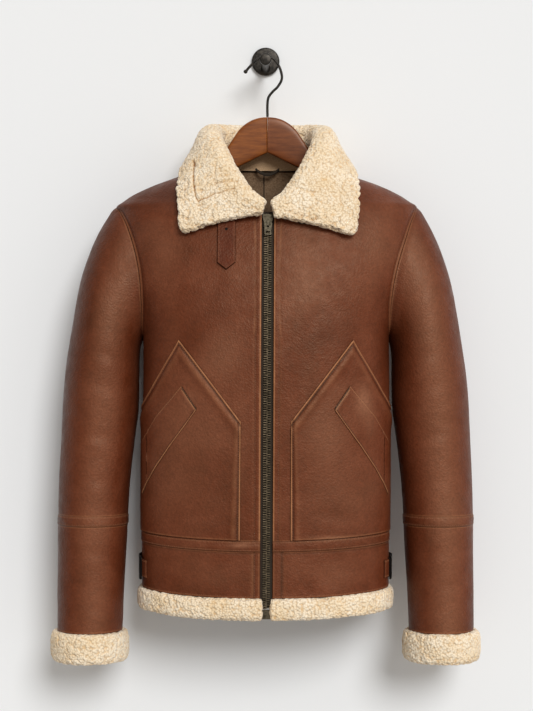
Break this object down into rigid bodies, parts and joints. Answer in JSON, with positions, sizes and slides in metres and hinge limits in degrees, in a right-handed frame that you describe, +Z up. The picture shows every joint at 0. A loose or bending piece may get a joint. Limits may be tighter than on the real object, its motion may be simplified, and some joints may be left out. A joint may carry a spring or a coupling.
{
  "type": "shearling jacket on a wooden hanger and wall hook",
  "caption": "Collared leather jacket with pile-edged collar, cuffs and hem, zipped up on a wooden hanger whose wire hook hangs on a round wall hook.",
  "frame": {"origin": "centre of the wall hook plate's back face, on the wall", "axes": "+Y into the wall, +Z up, +X to the right of someone facing the jacket's front"},
  "size_m": [0.643, 0.2168, 0.9358],
  "materials": {
    "leather": "smooth nappa finish with a soft sheen",
    "strap": "smooth strap leather",
    "fleece": "short curly sheepskin pile",
    "lining": "matt woven lining",
    "tape": "woven zip tape",
    "brass": "aged dark brass",
    "pewter": "aged pewter-coloured casting",
    "wood_light": "stained and varnished",
    "wood_dark": "stained and varnished",
    "iron": "dark oil-rubbed finish"
  },
  "bodies": {
    "garment": {"front_left": "leather", "front_right": "leather", "waist_strip_left": "leather", "waist_strip_right": "leather", "waist_strip_back": "leather", "hem_band_left": "leather", "hem_band_right": "leather", "hem_band_back": "leather", "side_panel_left": "leather", "side_panel_right": "leather", "pocket_welt_left": "leather", "pocket_welt_right": "leather", "back": "leather", "sleeve_upper_left": "leather", "sleeve_upper_right": "leather", "sleeve_strip_left": "leather", "sleeve_strip_right": "leather", "sleeve_lower_left": "leather", "sleeve_lower_right": "leather", "hem_pile": "fleece", "cuff_pile_left": "fleece", "cuff_pile_right": "fleece", "collar": "fleece", "zip_tape_left": "tape", "zip_tape_right": "tape", "zip_chain": "brass", "zip_slider": "pewter", "zip_bottom_box": "pewter", "throat_buckle": "pewter", "adjuster_buckle_left": "pewter", "adjuster_buckle_right": "pewter", "throat_strap": "strap", "buckle_tab": "strap", "adjuster_strap_left": "strap", "adjuster_strap_right": "strap", "hanging_loop": "strap", "neck_facing": "lining", "lining_back": "lining", "hanger_left": "wood_light", "hanger_right": "wood_dark", "hanger_wire": "iron", "wall_hook": "iron"},
    "zip_pull": {"zip_pull_tab": "pewter"}
  },
  "joints": [
    {"name": "zip_pull_turn", "type": "hinge", "parent": "garment", "child": "zip_pull", "pos_m": [0.00351, -0.18474, -0.26484], "axis": [-1, 0, 0], "range_deg": [0, 100]}
  ]
}
